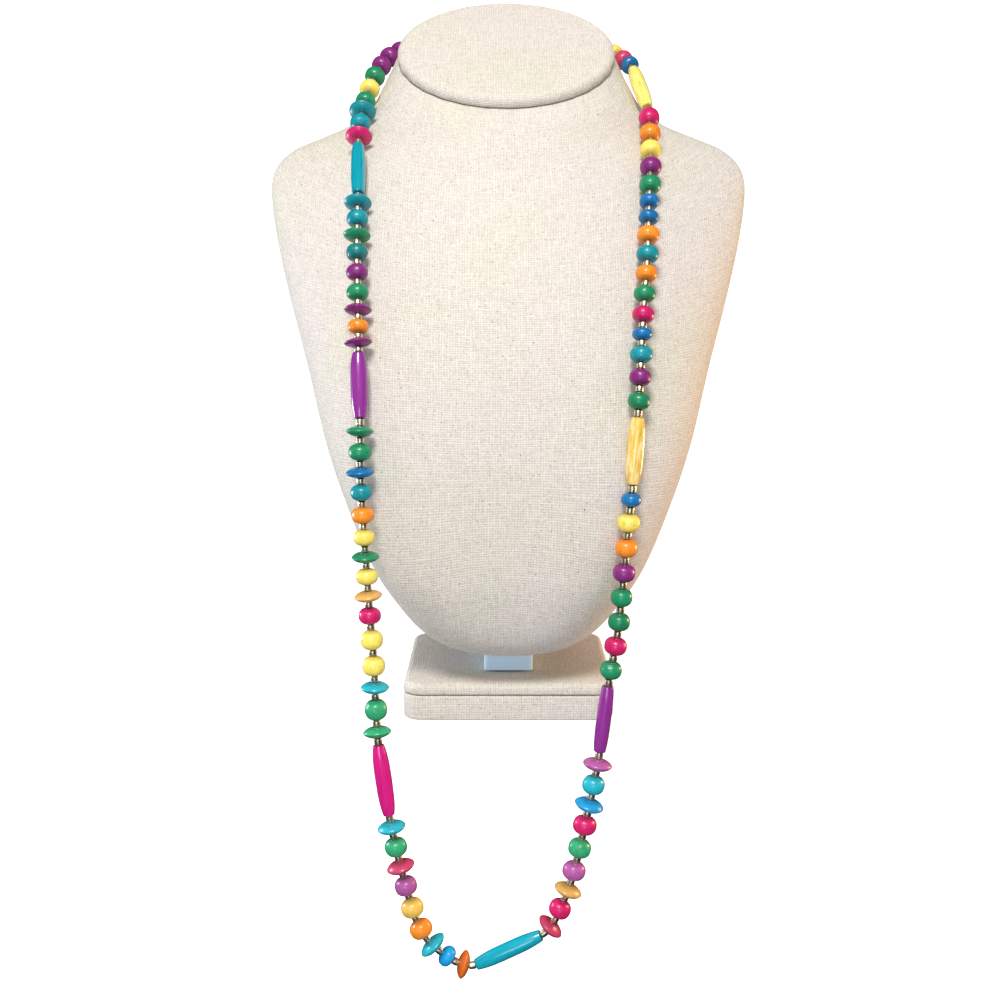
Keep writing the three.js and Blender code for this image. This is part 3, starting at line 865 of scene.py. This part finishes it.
def polished_bone(name, mottled=0.0):
    """Polished dyed bone: long pores and pale veins run with the bead, under a clear gloss.
    Where it is mottled, the undyed ivory shows in long patches."""
    recipe = Recipe(name, specular_ior_level=0.45, coat_roughness=0.1)
    dye = recipe.node("Attribute", {"attribute_name": "dye"}, {})
    grain = recipe.node("Attribute", {"attribute_name": "grain"}, {}, 1)
    ends = recipe.node("Attribute", {"attribute_name": "ends"}, {}, 2)
    x, y, z = recipe.parts(grain)
    veins = recipe.noise(recipe.joined(x * 1.5, y * 1.5, z * 0.09), 1.0, 3.0, 0.6)
    pores = recipe.noise(recipe.joined(x * 4.2, y * 4.2, z * 0.5), 1.0, 2.0)
    patches = recipe.noise(recipe.joined(x * 0.55, y * 0.55, z * 0.16), 1.0, 3.0)
    deep = recipe.blend(1.0, dye, (0.58, 0.52, 0.60), "MULTIPLY")
    thin = recipe.blend(1.0, dye, (1.25, 1.20, 1.20), "MULTIPLY")
    colour = recipe.blend(veins.between(0.34, 0.66), deep, thin)
    colour = recipe.blend(0.62, colour, dye)
    if mottled:
        brown = recipe.blend(1.0, dye, (0.62, 0.50, 0.45), "MULTIPLY")
        colour = recipe.blend(patches.between(0.5, 0.62) * mottled, colour, (0.93, 0.84, 0.55))
        colour = recipe.blend(patches.between(0.44, 0.34) * mottled, colour, brown)
    marks = pores.between(0.66, 0.74)
    colour = recipe.blend(marks * 0.45, colour, deep)
    # painted shade: the colour darkens at the end faces and in the bore round the hole
    colour = recipe.blend(ends.between(0.94, 1.0) * 0.85, colour, deep)
    recipe.feed(base_color=colour, roughness=0.22 + veins * 0.14, coat_weight=0.5 + patches * 0.4)
    recipe.bump(veins * 0.5 - marks * 0.7, 0.06 * MM, 0.8)
    return recipe.material


def worn_brass():
    """Plain turned brass: bright brass, brown with stains in blotches, and darkened and browned
    towards its ends by painted shade.
    """
    recipe = Recipe("worn_brass", metallic=1.0)
    grain = recipe.node("Attribute", {"attribute_name": "grain"}, {}, 1)
    ends = recipe.node("Attribute", {"attribute_name": "ends"}, {}, 2)
    x, y, z = recipe.parts(grain)
    lathe = recipe.noise(recipe.joined(x * 0.2, y * 0.2, z * 6.0), 1.0, 2.0)
    stain = recipe.noise(grain, 0.9, 2.0)
    # the blotchy stains are real; the darkening towards each spacer's ends is painted shade
    tarnish_and_end_shade = (ends.between(0.6, 1.0) * 0.75 + stain.between(0.5, 0.75) * 0.25).between(0.0, 1.0)
    colour = recipe.blend(tarnish_and_end_shade, (0.97, 0.86, 0.62), (0.20, 0.14, 0.08))
    recipe.feed(base_color=colour, roughness=0.4 + tarnish_and_end_shade * 0.2)
    recipe.bump(lathe, 0.03 * MM, 0.6)
    return recipe.material


def waxed_cord():
    """Brown waxed cord, a little lighter in places."""
    recipe = Recipe("waxed_cord", roughness=0.7)
    place = recipe.node("TexCoord", {}, {}, 3)
    mottle = recipe.noise(place, 900.0, 3.0)
    colour = recipe.blend(mottle.between(0.35, 0.7), (0.09, 0.055, 0.03), (0.22, 0.15, 0.09))
    recipe.feed(base_color=colour)
    recipe.bump(mottle, 0.1 * MM, 0.7)
    return recipe.material


def block_paint():
    """Bluish white paint over wood, very slightly uneven."""
    recipe = Recipe("block_paint", specular_ior_level=0.4)
    place = recipe.node("TexCoord", {}, {}, 3)
    brushed = recipe.noise(place, 260.0, 3.0)
    broad = recipe.noise(place, 60.0, 2.0)
    colour = recipe.blend(broad.between(0.3, 0.7), (0.62, 0.81, 1.0), (0.66, 0.84, 1.0))
    recipe.feed(base_color=colour, roughness=0.42 + brushed * 0.15)
    recipe.bump(brushed, 0.08 * MM, 0.5)
    return recipe.material


# ---------------------------------------------------------------------------- stage

def stage_camera():
    """The camera stands in front of the bust, a little above its chest, and looks down on it."""
    data = bpy.data.cameras.new("camera")
    data.lens, data.sensor_width = 48.6, 36
    camera = bpy.data.objects.new("camera", data)
    camera.location = (-0.0036, -0.598, 0.179)
    camera.rotation_euler = (math.radians(90 - 8.84), 0, 0)
    bpy.context.scene.collection.objects.link(camera)
    bpy.context.scene.camera = camera


def area_light(name, place, target, size, power, colour):
    """A round soft light that faces its target."""
    data = bpy.data.lights.new(name, "AREA")
    data.shape, data.size, data.energy, data.color = "DISK", size, power, colour
    light = bpy.data.objects.new(name, data)
    light.location = place
    light.rotation_euler = (Vector(target) - Vector(place)).to_track_quat("-Z", "Y").to_euler()
    bpy.context.scene.collection.objects.link(light)


def stage_lights():
    """A soft key from high on the left, a weaker and cooler light from the front, two small ones
    low at the sides for the base, and dim surroundings that polish doesn't mirror, so that round
    things darken at their edges."""
    middle = (0, -0.02, 0.13)
    area_light("key", (-0.12, -1.0, 1.08), middle, 0.42, 17.6, (1.0, 0.975, 0.93))
    area_light("cool_front", (-0.14, -1.15, 0.05), (0, -0.05, 0.03), 0.40, 2.8, (0.72, 0.86, 1.0))
    area_light("warm_side", (0.36, 0.06, 0.07), (0.02, 0, 0.02), 0.12, 0.95, (1.0, 0.62, 0.32))
    area_light("cool_side", (-0.36, 0.04, 0.08), (-0.02, 0, 0.02), 0.12, 0.85, (0.82, 0.90, 1.0))
    world = bpy.data.worlds.new("dim_room")
    world.use_nodes = True
    background = world.node_tree.nodes["Background"]
    background.inputs["Color"].default_value = (1.0, 0.99, 0.98, 1)
    background.inputs["Strength"].default_value = 0.50
    world.cycles_visibility.glossy = False
    bpy.context.scene.world = world
    bpy.context.scene.view_settings.view_transform = "Standard"


def stage_floor():
    """A wide plain floor, just under the lowest bead, that rises behind into a backdrop."""
    clearance = 25
    low = cad_box[0].z / MM - clearance
    turn = np.linspace(0.1, np.pi / 2, 16)
    y = np.concatenate([np.linspace(-3000, 900, 20), 900 + 600 * np.sin(turn), [1500]])
    z = low + np.concatenate([np.zeros(20), 600 * (1 - np.cos(turn)), [2600]])
    x = np.linspace(-3000, 3000, 9)
    points = np.stack(np.broadcast_arrays(x[None], y[:, None], z[:, None]), -1)
    floor = write_mesh("floor", points, grid_faces(*points.shape[:2]))
    recipe = Recipe("floor_paper", base_color=(0.86, 0.86, 0.855, 1), roughness=0.9,
                    emission_color=(1, 1, 1, 1), emission_strength=0.8)
    floor.data.materials.append(recipe.material)
    floor.visible_diffuse = floor.visible_glossy = False


# ---------------------------------------------------------------------------- assembly

def fit(piece, material, slot, *nodes):
    """Gives a piece its material, the body it rides on and the nodes it stands for; slot is not used.
    """
    piece.data.materials.append(material)
    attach(piece, "root")
    if nodes:
        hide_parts(*nodes)
    return piece


stage_camera()
stage_lights()
stage_floor()

cover = linen("linen")
fit(bust_cover(), cover, "linen", "bust_form")
fit(cap_cover(), cover, "linen", "neck_cap")
fit(slab_cover(), cover, "linen", "base_slab")
fit(pad_cover(), cover, "linen", "base_pad")
fit(support_block(), block_paint(), "block_paint", "support_block")

bead_finish, brass, bone = dyed_bead(), worn_brass(), polished_bone("polished_bone")
mottled_bone = polished_bone("mottled_bone", 0.55)

# Each tube bead takes two of the route's listed points, its ends, and its stretch runs from the
# second of them to the next tube's first.
listed = 0
for number, part in enumerate(NECKLACE):
    following = NECKLACE[(number + 1) % len(NECKLACE)]
    first, listed = listed + 1, listed + 2 + len(part["through"])
    stretch, tube = part["stretch"], part["tube"]
    start, end = LISTED_AT[first], LISTED_AT[listed]
    beads, spacer_row = strand(part, start, end, part["ends"][1], following["ends"][0])
    fit(beads, bead_finish, "dyed_beads", "strand_" + stretch)
    fit(spacer_row, brass, "brass")
    slot = tube.split("_")[1] + "_tube"
    fit(tube_bead(part), mottled_bone if slot == "yellow_tube" else bone, slot, tube)
fit(thread(), waxed_cord(), "thread")
